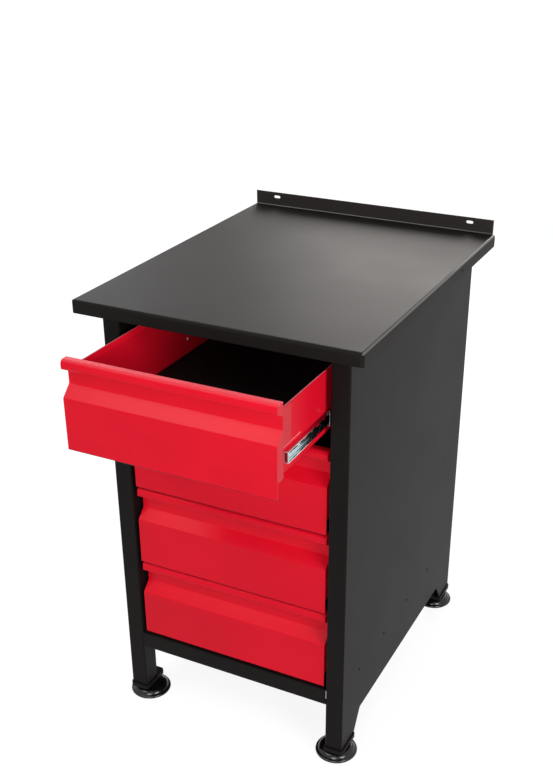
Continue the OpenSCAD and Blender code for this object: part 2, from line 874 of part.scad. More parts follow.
// The board that stiffens the worktop and takes its screws
module worktop_board() {
    x1 = top_w / 2 - pan_t - core_gap;
    color([0.72, 0.58, 0.42]) placed() difference() {
        pan_block(x1, pan_t + core_gap, top_d - pan_t, z_stand1, z_board1, pan_r - pan_t);
        for (x = screw_x, y = screw_y)
            translate([x, y, z_stand1 - cut]) cylinder(h = top_screw_l + cut + 0.5, r = top_screw_r + pin_gap);
    }
}

module worktop_screws() {
    color(zinc) placed()
    for (x = screw_x, y = screw_y)
        translate([x, y, z_stand1 - frame_t]) {
            cylinder(h = top_screw_l + frame_t, r = top_screw_r);
            translate([0, 0, -2]) difference() {
                rotate_extrude()
                polygon([[0, 0], [3, 0], [3.9, 0.8], [4, 2], [0, 2]]);
                translate([-2.5, -0.5, -cut]) cube([5, 1, cut + 0.9]);
                translate([-0.5, -2.5, -cut]) cube([1, 5, cut + 0.9]);
            }
        }
}

// Thick plates with rounded corners that stand out round the legs
module foot_plates() {
    x0 = x_post - plate_rim;
    x1 = x_side + plate_rim;
    long = leg_l + 2 * plate_rim;
    color(black) placed() both_sides()
    for (i = [0, 1])
        difference() {
            translate([x0, i == 0 ? y_body0 - plate_rim : y_body1 - leg_l - plate_rim, foot_h])
            linear_extrude(plate_t)
            polygon([
                for (q = [[x1 - x0 - plate_r, long - plate_r, 0], [plate_r, long - plate_r, 90],
                          [plate_r, plate_r, 180], [x1 - x0 - plate_r, plate_r, 270]])
                    each arc([q[0], q[1]], plate_r, q[2], q[2] + 90, 5)
            ]);
            translate([foot_x, foot_y[i], foot_h - cut])
            cylinder(h = plate_t + 2 * cut, r = stud_r + 0.6);
        }
}

// A hexagonal prism with two flats facing along X
module hexagon(af, h) {
    rotate([0, 0, 30]) cylinder(h = h, r = af / 2 / cos(30), $fn = 6);
}

module foot_nuts() {
    color(steel) placed() both_sides()
    for (y = foot_y)
        translate([foot_x, y, z_leg0]) difference() {
            hexagon(nut_af, nut_h);
            translate([0, 0, -cut]) cylinder(h = nut_h + 2 * cut, r = stud_r + stud_gap);
        }
}

// Place of foot i: 1 front left, 2 front right, 3 rear left, 4 rear right
function foot_at(i) = [(i % 2 == 1 ? -1 : 1) * foot_x, i < 3 ? foot_y[0] : foot_y[1], 0];

module foot_pad(i) {
    r = foot_d / 2;
    socket_r = stud_r + 1 + stud_gap;
    hub_r = socket_r + 6;
    rim_h = 7;
    color(black) placed() translate(foot_at(i))
    rotate_extrude()
    polygon([
        [0, 0], [r - 2.5, 0],
        each arc([r - 3.5, 3.5], 3.5, -70, 60, 8),
        each arc([r * 0.62, rim_h - 4], foot_pad_h - rim_h + 3, 24, 70, 4),
        [hub_r + 2, foot_pad_h - 1], [hub_r, foot_pad_h],
        [socket_r, foot_pad_h], [socket_r, foot_pad_h - 9], [0, foot_pad_h - 9]
    ]);
}

module foot_stud(i) {
    z_collar = foot_pad_h + 0.3;
    color(steel) placed() translate(foot_at(i)) {
        translate([0, 0, foot_pad_h - 8.7]) cylinder(h = 9.5, r = stud_r + 1);
        translate([0, 0, z_collar]) hexagon(collar_af, collar_t);
        translate([0, 0, z_collar + collar_t - 0.5]) cylinder(h = stud_l - 0.5, r = stud_r);
        translate([0, 0, z_collar + collar_t + stud_l - 1]) cylinder(h = 1, r1 = stud_r, r2 = stud_r - 1);
    }
}

side_frame_left();
side_frame_right();
back_panel();
base_tray();
top_rail_front();
top_rail_rear();
worktop_pan();
worktop_board();
foot_plates();
foot_nuts();
stand_rivets();
back_rivets();
worktop_screws();
cabinet_slides(1);  // cabinet_slides_1
cabinet_slides(2);  // cabinet_slides_2
cabinet_slides(3);  // cabinet_slides_3
cabinet_slides(4);  // cabinet_slides_4
slide_rivets();
drawer_front(1);  // drawer_front_1
drawer_front(2);  // drawer_front_2
drawer_front(3);  // drawer_front_3
drawer_front(4);  // drawer_front_4
drawer_box(1);  // drawer_box_1
drawer_box(2);  // drawer_box_2
drawer_box(3);  // drawer_box_3
drawer_box(4);  // drawer_box_4
drawer_ends(1);  // drawer_ends_1
drawer_ends(2);  // drawer_ends_2
drawer_ends(3);  // drawer_ends_3
drawer_ends(4);  // drawer_ends_4
drawer_mat(1);  // drawer_mat_1
drawer_mat(2);  // drawer_mat_2
drawer_mat(3);  // drawer_mat_3
drawer_mat(4);  // drawer_mat_4
drawer_slides(1);  // drawer_slides_1
drawer_slides(2);  // drawer_slides_2
drawer_slides(3);  // drawer_slides_3
drawer_slides(4);  // drawer_slides_4
drawer_rivets(1);  // drawer_rivets_1
drawer_rivets(2);  // drawer_rivets_2
drawer_rivets(3);  // drawer_rivets_3
drawer_rivets(4);  // drawer_rivets_4
middle_slides(1);  // middle_slides_1
middle_slides(2);  // middle_slides_2
middle_slides(3);  // middle_slides_3
middle_slides(4);  // middle_slides_4
outer_cages(1);  // outer_cages_1
outer_cages(2);  // outer_cages_2
outer_cages(3);  // outer_cages_3
outer_cages(4);  // outer_cages_4
inner_cages(1);  // inner_cages_1
inner_cages(2);  // inner_cages_2
inner_cages(3);  // inner_cages_3
inner_cages(4);  // inner_cages_4
foot_pad(1);  // foot_pad_1
foot_pad(2);  // foot_pad_2
foot_pad(3);  // foot_pad_3
foot_pad(4);  // foot_pad_4
foot_stud(1);  // foot_stud_1
foot_stud(2);  // foot_stud_2
foot_stud(3);  // foot_stud_3
foot_stud(4);  // foot_stud_4
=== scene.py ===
"""Finishes and studio for a workshop drawer cabinet

Powder-coated stand and worktop, gloss red drawers, zinc slides, ribbed mats and levelling feet.
"""

import json
import math

import bmesh
import bpy
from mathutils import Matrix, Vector


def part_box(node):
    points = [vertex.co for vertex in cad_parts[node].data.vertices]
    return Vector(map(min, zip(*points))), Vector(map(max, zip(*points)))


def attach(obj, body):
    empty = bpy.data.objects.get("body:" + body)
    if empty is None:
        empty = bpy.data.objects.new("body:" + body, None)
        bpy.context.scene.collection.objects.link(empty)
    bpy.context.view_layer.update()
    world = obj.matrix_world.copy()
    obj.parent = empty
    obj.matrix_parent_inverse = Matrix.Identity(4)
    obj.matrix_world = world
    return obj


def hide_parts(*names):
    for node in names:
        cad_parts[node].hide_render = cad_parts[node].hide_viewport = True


bl_info = {
    "name": "Drawer Cabinet Dressing",
    "version": (1, 0, 0),
    "blender": (4, 5, 0),
    "location": "View3D > Sidebar > Cabinet",
    "description": "Dresses a steel drawer cabinet with folded sheet, paint, zinc, mats and feet",
    "category": "Object",
}

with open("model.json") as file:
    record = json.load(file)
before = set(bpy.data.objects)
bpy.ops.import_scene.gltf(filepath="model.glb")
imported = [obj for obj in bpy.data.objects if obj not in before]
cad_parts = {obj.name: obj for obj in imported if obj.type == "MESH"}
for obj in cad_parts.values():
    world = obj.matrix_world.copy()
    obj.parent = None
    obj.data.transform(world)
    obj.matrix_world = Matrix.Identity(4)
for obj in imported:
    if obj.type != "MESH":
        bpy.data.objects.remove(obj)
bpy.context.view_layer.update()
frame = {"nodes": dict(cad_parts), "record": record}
CAD = frame["nodes"]

DRAWERS = (1, 2, 3, 4)
FEET = (1, 2, 3, 4)
MM = 0.001

# Sizes of the solids that the finishes follow: the worktop pan's sheet, how far the rib stands
# out of a drawer box, and the height of the box's hem
PAN_SHEET = 1.5 * MM
RIB_OUT = 1.6 * MM
HEM_HEIGHT = 12 * MM

# A drawer member's holes: the first one's place behind the front end, their pitch, half the
# straight of an oblong one, and the radius of the rims round them that the web's painted shade
# leaves out
HOLE_FIRST = 28 * MM
HOLE_PITCH = 25 * MM
HOLE_STRAIGHT = 2 * MM
HOLE_RIM = 4.4 * MM

# Bands are a middle height and a reach up and down from it. On the worktop pan they are heights
# above its sheet of its painted fold highlights: the side folds, which reach this far in, and the
# foot of the upstand
SIDE_FOLDS = (-1.4 * MM, 2.2 * MM)
SIDE_FOLD_IN = 3.4 * MM
UPSTAND_FOOT = (1.6 * MM, 1.1 * MM)

# Height of the painted shade along a drawer front's lower fold, and of the painted highlight on the
# crown of its lip
PAINTED_FOLD_SHADE_HEIGHT = 2.1 * MM
CROWN_TOP = 3.5 * MM
CROWN_FADE = 4 * MM

# Heights on a drawer member from its middle: the edges of its web, which is painted with shade, and
# the band of painted shade along the seam
WEB_TOP = 8.4 * MM
WEB_FOOT = -3.2 * MM
SEAM = (-6.6 * MM, 0.55 * MM)

# Depth of the drawer member's closed front end, and the width of the pale painted highlight round
# the painted hollow on it, at the sides and at top and bottom
END_DEPTH = 1.25 * MM
END_WALLS = (1.4 * MM, 1.6 * MM)

# Colours beside the paints: the coat's sheen, painted highlights on the worktop's folds and
# on the drawers' lip, hem and rib, painted shade on the drawer member's web, darker zinc further
# back, a painted highlight on its lower flange, pale zinc for the rivets with a painted glint,
# and the member's end: a painted highlight round a painted hollow of shaded red
COAT_TINT = (1.0, 0.95, 0.93, 1)
PAINTED_PAN_FOLD_HIGHLIGHT = (0.055, 0.052, 0.05)
PAINTED_CROWN_HIGHLIGHT = (1.0, 0.06, 0.09)
PAINTED_HEM_HIGHLIGHT = (0.62, 0.16, 0.19)
PAINTED_RIB_HIGHLIGHT = (1.0, 0.26, 0.30)
PAINTED_WEB_SHADE = (0.018, 0.024, 0.027)
DARKER_ZINC_FURTHER_BACK = (0.16, 0.20, 0.21)
PAINTED_FLANGE_HIGHLIGHT = (0.80, 0.95, 0.97)
PALE_ZINC_WITH_PAINTED_GLINT = (0.95, 0.88, 0.86)
PAINTED_END_HIGHLIGHT = (0.58, 0.44, 0.44)
PAINTED_HOLLOW_SHADE = (0.20, 0.012, 0.02)

# Angles up to which the faces of a round piece shade as one curve
MAT_CURVE = math.radians(50)
RIVET_CURVE = math.radians(40)
FOOT_CURVE = math.radians(35)

# Breaks of cut edges that differ from the stand's, by the kind of piece
EDGES = {
    "back_panel": 0.5 * MM, "foot_plates": 0.5 * MM, "foot_nuts": 0.6 * MM,
    "worktop_pan": 0.4 * MM, "worktop_screws": 0.0,
    "drawer_front": 0.4 * MM, "drawer_box": 0.25 * MM, "drawer_ends": 0.25 * MM,
    "cabinet_slides": 0.2 * MM, "middle_slides": 0.2 * MM, "drawer_slides": 0.2 * MM,
    "outer_cages": 0.0, "inner_cages": 0.0}

# Height of a rivet's head on a slide and elsewhere, and radii of its shank and its tail
FLUSH_HEAD = 0.54 * MM
HEAD = 1.1 * MM
SHANK = 2 * MM
TAIL = 3 * MM

# Depth and height of the rivet that holds the board in each side of the worktop pan
PAN_RIVET = (215 * MM, 886 * MM)

# Camera: place, aim and shift
CAMERA_AT = (0.8835, -1.7645, 1.5794)
CAMERA_AIM = (0.0282, -0.0141, 0.560)
CAMERA_SHIFT = (-0.0215, 0.0778)

# How far the floor takes part in the shadow, how bright it shows there by itself, and its reach
FLOOR_FADE = 4.0
FLOOR_GLOW = 0.88
FLOOR_SIZE = 60.0

WHITE = (1.0, 1.0, 1.0)
WARM = (1.0, 0.945, 0.915)

# Soft round lamps: place, aim, diameter in metres, power in watts and colour. The one behind,
# which the worktop mirrors, is a little warmer than the others
LAMPS = {
    "above left": ((-1.08, -1.45, 2.82), (0.0, -0.35, 0.7), 1.2, 19.5, WHITE),
    "front": ((0.7, -2.95, 1.05), (0.0, -0.2, 0.45), 1.4, 40.0, WHITE),
    "right": ((2.2, -1.3, 1.4), (0.0, -0.1, 0.6), 1.2, 43.0, WHITE),
    "behind": ((-0.37, 2.8, 1.8), (0.0, 0.0, 0.85), 2.0, 77.0, WARM),
    "left": ((-1.05, 0.62, 1.4), (-0.12, -0.1, 0.9), 0.8, 4.4, WHITE),
}


# ---------------------------------------------------------------- settings


def colour_property(name, description, *default):
    return bpy.props.FloatVectorProperty(
        name=name, description=description, subtype="COLOR", size=3, min=0, max=1, default=default)


def length_property(name, description, low, high, default):
    """A length whose limits and default are given in millimetres"""
    return bpy.props.FloatProperty(
        name=name, description=description, unit="LENGTH",
        min=low * MM, max=high * MM, default=default * MM)


class CabinetPaint(bpy.types.PropertyGroup):
    """Colours of the cabinet's finishes"""

    stand: colour_property("Stand", "Powder coat of the stand", 0.0064, 0.0054, 0.0052)
    worktop: colour_property("Worktop", "Powder coat of the worktop", 0.0074, 0.0064, 0.0061)
    drawers: colour_property("Drawers", "Gloss paint of the drawers", 0.715, 0.0050, 0.021)
    zinc: colour_property("Zinc", "Zinc plate of the slides", 0.68, 0.71, 0.73)
    rubber: colour_property("Mats", "Rubber of the drawer mats", 0.006, 0.006, 0.006)
    nylon: colour_property("Feet", "Moulded plastic of the feet", 0.004, 0.004, 0.004)


class CabinetSheet(bpy.types.PropertyGroup):
    """How the sheet metal is finished along its edges"""

    edge: length_property("Edge break", "Width of the broken corner along a cut edge", 0, 1, 0.3)
    soft_angle: bpy.props.FloatProperty(
        name="Fold angle", description="Steps of a fold under this angle shade as one curve",
        subtype="ANGLE", min=0, max=math.pi / 2, default=math.radians(32))


class CabinetMats(bpy.types.PropertyGroup):
    """The ribbed mats on the drawer floors"""

    rib_pitch: length_property("Rib pitch", "Distance from rib to rib", 2, 20, 4)
    rib_height: length_property("Rib height", "Height of a rib above the mat", 0.2, 1, 0.5)
    margin: length_property("Margin", "Plain strip round the ribs", 0, 20, 3)


class CabinetHardware(bpy.types.PropertyGroup):
    """Rivets, studs and feet"""

    rivet_steps: bpy.props.IntProperty(
        name="Rivet steps", description="Sides of a rivet head", min=12, max=48, default=24)
    thread_pitch: length_property("Thread pitch", "Lead of the stud's thread", 1, 3, 1.5)
    thread_depth: length_property(
        "Thread depth", "Height of the thread above the stud's core", 0.2, 1, 0.6)
    foot_steps: bpy.props.IntProperty(
        name="Foot steps", description="Sides of a foot", min=24, max=128, default=80)


class CabinetStudio(bpy.types.PropertyGroup):
    """Lamps and surroundings"""

    lamps: bpy.props.FloatProperty(
        name="Lamps", description="Power of the lamps, as a share of their own",
        min=0, max=4, default=1)
    surroundings: bpy.props.FloatProperty(
        name="Surroundings", description="Light from all round", min=0, max=2, default=0.12)
    lens: bpy.props.FloatProperty(
        name="Lens", description="Focal length of the camera", unit="CAMERA",
        min=20, max=200, default=51.94)


# ---------------------------------------------------------------- node graphs


def feed(tree, socket, value):
    """Links a wire to a socket, or writes a value on it"""
    if isinstance(value, Wire):
        tree.links.new(value.socket, socket)
    else:
        socket.default_value = value


class Wire:
    """A node's output that takes part in sums: each operator adds its Math node"""

    def __init__(self, tree, socket):
        self.tree = tree
        self.socket = socket

    def math(self, operation, *values):
        made = self.tree.nodes.new("ShaderNodeMath")
        made.operation = operation
        for socket, value in zip(made.inputs, values):
            feed(self.tree, socket, value)
        return Wire(self.tree, made.outputs[0])

    def __add__(self, other):
        return self.math("ADD", self, other)

    def __sub__(self, other):
        return self.math("SUBTRACT", self, other)

    def __rsub__(self, other):
        return self.math("SUBTRACT", other, self)

    def __mul__(self, other):
        return self.math("MULTIPLY", self, other)

    def __mod__(self, other):
        return self.math("MODULO", self, other)

    def __abs__(self):
        return self.math("ABSOLUTE", self)

    def __gt__(self, other):
        return self.math("GREATER_THAN", self, other)

    def __lt__(self, other):
        return self.math("LESS_THAN", self, other)

    def most(self, other):
        return self.math("MAXIMUM", self, other)

    def least(self, other):
        return self.math("MINIMUM", self, other)

    def near(self, middle, reach):
        """1 where the value is within reach of the middle, else 0"""
        return abs(self - middle) < reach


class Graph:
    """A node tree that is built up node by node"""

    def __init__(self, tree):
        self.tree = tree

    def node(self, kind, settings=(), sockets=(), out=0):
        """Adds a node: its settings first, then the values or links of its sockets"""
        made = self.tree.nodes.new(kind)
        for key, value in dict(settings).items():
            setattr(made, key, value)
        for key, value in dict(sockets).items():
            feed(self.tree, made.inputs[key], value)
        return Wire(self.tree, made.outputs[out])


# ---------------------------------------------------------------- materials


class Finish(Graph):
    """A procedural material, built round one Principled shader and read in object coordinates"""

    def __init__(self, name, **fixed):
        self.material = bpy.data.materials.new(name)
        self.material.use_nodes = True
        super().__init__(self.material.node_tree)
        self.shader = self.tree.nodes["Principled BSDF"]
        self.place = self.node("ShaderNodeTexCoord", out="Object")
        self.set(**fixed)

    def set(self, **values):
        for key, value in values.items():
            feed(self.tree, self.shader.inputs[key.replace("_", " ")], value)
        return self.material

    def axis(self, name):
        """One of the object coordinates, by its letter"""
        return self.node("ShaderNodeSeparateXYZ", sockets={"Vector": self.place}, out=name)

    def noise(self, scale, detail, place=None):
        sockets = {"Vector": place or self.place, "Scale": scale, "Detail": detail}
        return self.node("ShaderNodeTexNoise", sockets=sockets, out="Fac")

    def stretched(self, x, y, z):
        """Object coordinates scaled along each axis, for a grain that runs one way"""
        sockets = {"Vector": self.place, "Scale": (x, y, z)}
        return self.node("ShaderNodeMapping", sockets=sockets)

    def ramp(self, value, low, high):
        """A level that climbs from 0 to 1 as the value goes from low to high"""
        made = self.node("ShaderNodeValToRGB", sockets={"Fac": value})
        first, last = made.socket.node.color_ramp.elements
        first.position, last.position = low, high
        return made

    def mix(self, factor, a, b):
        """Blend of two colours; Factor, A and B are the node's colour sockets"""
        def four(colour):
            return colour if isinstance(colour, Wire) else (*colour, 1)
        sockets = {0: factor, 6: four(a), 7: four(b)}
        return self.node("ShaderNodeMix", {"data_type": "RGBA"}, sockets, out=2)

    def bump(self, height, distance, strength, under=None):
        sockets = {"Height": height, "Distance": distance, "Strength": strength}
        if under is not None:
            sockets["Normal"] = under
        return self.node("ShaderNodeBump", sockets=sockets)


def shade(colour, factor):
    return tuple(min(1.0, c * factor) for c in colour)


def powder_coat(name, colour, roughness, gloss):
    """Fine-grained powder coat: a soft orange peel under a finer grain, with a faint cloudiness"""
    f = Finish(name, Specular_IOR_Level=gloss, Specular_Tint=COAT_TINT)
    peel = f.noise(520, 2.0)
    grain = f.noise(2600, 1.0)
    cloud = f.noise(7, 3.0)
    f.base = f.mix(f.ramp(cloud, 0.3, 0.75), shade(colour, 0.88), shade(colour, 1.12))
    f.set(
        Base_Color=f.base,
        Roughness=cloud * 0.08 + (roughness - 0.04) + grain * 0.03,
        Normal=f.bump(grain, 0.012 * MM, 0.6, under=f.bump(peel, 0.05 * MM, 0.5)))
    return f


def pan_coat(name, colour):
    """The worktop pan's powder coat: glossier along its side folds and at the foot of the upstand,
    where a pale highlight is painted too, and the upstand painted paler as painted light"""
    f = powder_coat(name, colour, 0.50, 0.08)
    above = f.axis("Z") - (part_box("worktop_board")[1].z + PAN_SHEET)
    side = abs(f.axis("X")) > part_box("worktop_pan")[1].x - SIDE_FOLD_IN
    # Side folds and the upstand's foot: a glossier coat and a pale painted highlight
    glossy_folds_painted_highlight = (side * above.near(*SIDE_FOLDS)).most(above.near(*UPSTAND_FOOT))
    # Painted reflection: the upstand above the sheet is painted paler than the rest of the coat
    coat = f.mix(above > 1.0 * MM, f.base, shade(colour, 3.3))
    return f.set(Base_Color=f.mix(glossy_folds_painted_highlight, coat, PAINTED_PAN_FOLD_HIGHLIGHT), Coat_Weight=glossy_folds_painted_highlight * 0.8)


def gloss_paint(name, gloss, roughness):
    """Gloss paint on sheet steel: long shallow waves of the sheet under a fine orange peel"""
    f = Finish(name, Specular_IOR_Level=gloss)
    waves = f.noise(9, 1.0)
    peel = f.noise(340, 2.0)
    f.sheen = peel * 0.05 + roughness
    normal = f.bump(peel, 0.012 * MM, 0.4, under=f.bump(waves, 0.8 * MM, 0.25))
    f.set(Roughness=f.sheen, Normal=normal)
    return f


def height_in_drawer(f, kind):
    """Height above the lower edge of a drawer's own piece, and the height of that piece"""
    low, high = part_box(kind + "_4")
    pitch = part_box(kind + "_3")[0].z - low.z
    return (f.axis("Z") - low.z) % pitch, high.z - low.z


def front_paint(name, colour):
    """The drawer fronts' paint: painted shade along the lower fold, and a painted highlight, with a
    softer gloss, along the top of the uppermost grip lip"""
    f = gloss_paint(name, 0.12, 0.24)
    base = f.mix(f.ramp(f.noise(5, 2.0), 0.3, 0.7), shade(colour, 0.94), shade(colour, 1.05))
    up, tall = height_in_drawer(f, "drawer_front")
    # Painted highlight: only the crown of the top drawer's lip, where the light falls, is painted
    # pale
    crown = f.ramp((up - (tall - CROWN_TOP)) * (1 / CROWN_FADE), 0.2, 0.8)
    crown = crown * (f.axis("Z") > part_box("drawer_front_1")[0].z)
    coat = f.mix(crown, base, PAINTED_CROWN_HIGHLIGHT)
    # Painted shade: the band along the lower fold is painted darker
    return f.set(
        Base_Color=f.mix(up < PAINTED_FOLD_SHADE_HEIGHT, coat, shade(colour, 0.42)),
        Roughness=crown * 0.15 + f.sheen)


def box_paint(name, colour):
    """The drawer boxes' paint, with painted light: lighter inside and lighter still along the inner
    hem, with painted highlights along the hem's top edge and on the rib
    """
    f = gloss_paint(name, 0.04, 0.30)
    up, tall = height_in_drawer(f, "drawer_box")
    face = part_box("drawer_box_4")[1].x - RIB_OUT
    out = abs(f.axis("X"))
    inner = out < face - 0.7 * MM
    # Painted light: the inside is painted lighter than the outside, and the inner hem band lighter
    # still
    coat = f.mix(inner, shade(colour, 1.08), shade(colour, 1.2))
    coat = f.mix((up > tall - HEM_HEIGHT) * inner, coat, shade(colour, 1.42))
    # Painted highlight along the hem's rounded top edge
    coat = f.mix(up > tall - 0.5 * MM, coat, PAINTED_HEM_HIGHLIGHT)
    # Painted highlight on the rib that stands out of the box's face
    return f.set(Base_Color=f.mix(out > face, coat, PAINTED_RIB_HIGHLIGHT))


def zinc_plate(name, colour):
    """Bright zinc: a drawn grain along the slide, and clouds from blue to straw"""
    f = Finish(name, Metallic=1.0)
    red, green, blue = colour
    drawn = f.noise(1, 3.0, f.stretched(1400, 18, 1400))
    cloud = f.noise(28, 3.0)
    tint = f.mix(
        f.ramp(cloud, 0.38, 0.62),
        (red * 0.94, green * 0.98, blue * 1.05), (red * 1.05, green * 1.02, blue * 0.94))
    f.base = f.mix(f.ramp(drawn, 0.3, 0.7), tint, shade(colour, 1.08))
    f.set(
        Base_Color=f.base,
        Roughness=drawn * 0.08 + cloud * 0.06 + 0.10,
        Normal=f.bump(drawn, 0.005 * MM, 0.4))
    return f


def zinc_with_painted_light(name, colour, node):
    """A drawer member: painted shade on its web and in its seam, left out in rims round its holes
    near the front, a painted highlight on its lower flange near the front, darker zinc further
    back, and a painted hollow on its closed front end"""
    f = zinc_plate(name, colour)
    low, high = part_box(node)
    back = f.axis("Y") - low.y
    height = f.axis("Z") - (low.z + high.z) / 2
    near = 1.0 - f.ramp(back * 5.0, 0.30, 0.62)

    step = (back + (HOLE_PITCH / 2 - HOLE_FIRST)) % HOLE_PITCH
    along = (abs(step - HOLE_PITCH / 2) - HOLE_STRAIGHT).most(0.0)
    rim = (along * along + height * height) < HOLE_RIM ** 2
    # Painted shade on the web under the top flange and in the seam's crease, except in rims round
    # the front holes
    web = height.near(0.0, WEB_TOP) * (height > WEB_FOOT) * (1.0 - rim * near)
    painted_shade = web.most(height.near(*SEAM))
    # Near the front the lower flange gets a painted highlight; further back the zinc is darker
    zinc_with_flange_highlight = f.mix(near, DARKER_ZINC_FURTHER_BACK, f.mix(height < WEB_FOOT, f.base, PAINTED_FLANGE_HIGHLIGHT))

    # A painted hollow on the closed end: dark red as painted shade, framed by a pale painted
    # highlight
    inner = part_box(node.replace("slides", "box"))[1].x - RIB_OUT
    side_wall, flat_wall = END_WALLS
    painted_hollow = abs(f.axis("X")).near((high.x + inner) / 2, (high.x - inner) / 2 - side_wall)
    painted_hollow = painted_hollow * height.near(0.0, (high.z - low.z) / 2 - flat_wall)
    end = back < END_DEPTH
    return f.set(
        Base_Color=f.mix(end, f.mix(painted_shade, zinc_with_flange_highlight, PAINTED_WEB_SHADE), f.mix(painted_hollow, PAINTED_END_HIGHLIGHT, PAINTED_HOLLOW_SHADE)),
        Metallic=1.0 - end * 0.8)


def plain_steel(name):
    """Bright steel strip and balls, with a film of oil"""
    f = Finish(name, Metallic=1.0)
    smear = f.noise(60, 3.0)
    return f.set(
        Base_Color=f.mix(f.ramp(smear, 0.35, 0.7), (0.36, 0.36, 0.37), (0.52, 0.52, 0.53)),
        Roughness=smear * 0.15 + 0.22)


def ribbed_rubber(name, colour):
    """Matt rubber, slightly dusty in its grain"""
    f = Finish(name, Specular_IOR_Level=0.25)
    grain = f.noise(1500, 2.0)
    cloud = f.noise(12, 3.0)
    return f.set(
        Base_Color=f.mix(f.ramp(cloud, 0.35, 0.75), shade(colour, 0.8), shade(colour, 1.5)),
        Roughness=grain * 0.15 + 0.62,
        Normal=f.bump(grain, 0.03 * MM, 0.5))


def moulded_nylon(name, colour):
    """Glossy moulded plastic with fine scuffs where it is trodden on"""
    f = Finish(name, Specular_IOR_Level=0.4)
    scuff = f.noise(1, 3.0, f.stretched(160, 900, 160))
    skin = f.noise(700, 1.0)
    return f.set(
        Base_Color=f.mix(f.ramp(scuff, 0.6, 0.8), colour, (0.012, 0.012, 0.012)),
        Roughness=f.ramp(scuff, 0.5, 0.75) * 0.14 + 0.16,
        Normal=f.bump(skin, 0.01 * MM, 0.4))


def particle_board(name):
    """Raw chipboard: pressed flakes of several tones, with dark gaps"""
    f = Finish(name, Specular_IOR_Level=0.2)
    flakes = f.node("ShaderNodeTexVoronoi", {"feature": "F1"}, {
        "Vector": f.stretched(1.0, 0.55, 1.6), "Scale": 420, "Randomness": 1.0}, out="Color")
    tone = f.node("ShaderNodeSeparateColor", sockets={"Color": flakes})
    fibre = f.noise(1, 3.0, f.stretched(900, 120, 900))
    chips = f.mix(tone, (0.36, 0.24, 0.13), (0.60, 0.44, 0.27))
    return f.set(
        Base_Color=f.mix(f.ramp(fibre, 0.55, 0.75), chips, (0.22, 0.14, 0.08)),
        Roughness=fibre * 0.2 + 0.7,
        Normal=f.bump(tone, 0.15 * MM, 0.6))


PAINTS = {}


def finishes(paint):
    """The materials by slot, made once"""
    if not PAINTS:
        PAINTS.update(
            stand_black=powder_coat("stand powder coat", paint.stand, 0.46, 0.07).material,
            worktop_black=pan_coat("worktop powder coat", paint.worktop),
            drawer_red=front_paint("drawer front paint", paint.drawers),
            zinc=zinc_plate("zinc plate", paint.zinc).material,
            cage_steel=plain_steel("oiled steel"),
            mat_black=ribbed_rubber("ribbed rubber", paint.rubber),
            foot_plastic=moulded_nylon("moulded nylon", paint.nylon),
            board=particle_board("particle board"))
    return PAINTS


# ---------------------------------------------------------------- shared making


def body_of(node):
    bodies = frame["record"]["behaviour"]["bodies"]
    return next(body for body, members in bodies.items() if node in members)


def slot_of(node):
    subparts = frame["record"]["subparts"]
    return next(part["material_slot"] for part in subparts if part["node"] == node)


def linked(name, data):
    """A new object in the scene"""
    made = bpy.data.objects.new(name, data)
    bpy.context.scene.collection.objects.link(made)
    return made


def aimed(name, data, at, towards):
    """A new object in the scene that stands at one place and looks towards another"""
    made = linked(name, data)
    made.location = at
    made.rotation_euler = (Vector(towards) - made.location).to_track_quat("-Z", "Y").to_euler()
    return made


def mesh_of(name, bm):
    """A bmesh's mesh; the bmesh goes"""
    mesh = bpy.data.meshes.new(name)
    bm.to_mesh(mesh)
    bm.free()
    return mesh


def placed(name, mesh, material, body, node):
    """Links a finished mesh as a piece that rides on a body and stands for a CAD node"""
    piece = linked(name, mesh)
    mesh.materials.clear()
    mesh.materials.append(material)
    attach(piece, body)
    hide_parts(node)


def evaluated(source):
    """A new mesh of what an object's modifiers make"""
    bpy.context.view_layer.update()
    graph = bpy.context.evaluated_depsgraph_get()
    return bpy.data.meshes.new_from_object(source.evaluated_get(graph))


def made_plain(name, source):
    """A plain mesh from an object and its modifiers; the object goes"""
    mesh = evaluated(source)
    mesh.name = name
    old = source.data
    source.modifiers.clear()
    bpy.data.objects.remove(source)
    if old.users == 0:
        bpy.data.meshes.remove(old)
    return mesh


def worked(name, bm, edge, soft_angle):
    """A mesh whose cut edges are broken and whose folds shade as curves"""
    work = linked(name + ".work", mesh_of(name, bm))
    if edge > 0:
        bevel = work.modifiers.new("edge", "BEVEL")
        bevel.width = edge
        bevel.segments = 2
        bevel.limit_method = "ANGLE"
        bevel.angle_limit = math.radians(50)
        bevel.use_clamp_overlap = True
        bevel.miter_outer = "MITER_ARC"
    plain = made_plain(name, work)
    soften(plain, soft_angle)
    return plain


def soften(mesh, angle):
    """Smooth shading, kept sharp where faces meet at more than the angle, and weighted to the
    large faces"""
    bm = bmesh.new()
    bm.from_mesh(mesh)
    for face in bm.faces:
        face.smooth = True
    for edge in bm.edges:
        edge.smooth = len(edge.link_faces) == 2 and edge.calc_face_angle(math.pi) < angle
    bm.to_mesh(mesh)
    bm.free()
    holder = linked("soften", mesh)
    weighted = holder.modifiers.new("weighted", "WEIGHTED_NORMAL")
    weighted.keep_sharp = True
    result = evaluated(holder)
    holder.modifiers.clear()
    normals = [tuple(n.vector) for n in result.corner_normals]
    bpy.data.objects.remove(holder)
    bpy.data.meshes.remove(result)
    mesh.normals_split_custom_set(normals)


def joined(node):
    """The CAD node's mesh with the corners of its loose triangles made one"""
    bm = bmesh.new()
    bm.from_mesh(CAD[node].data)
    bmesh.ops.remove_doubles(bm, verts=bm.verts, dist=1e-6)
    return bm


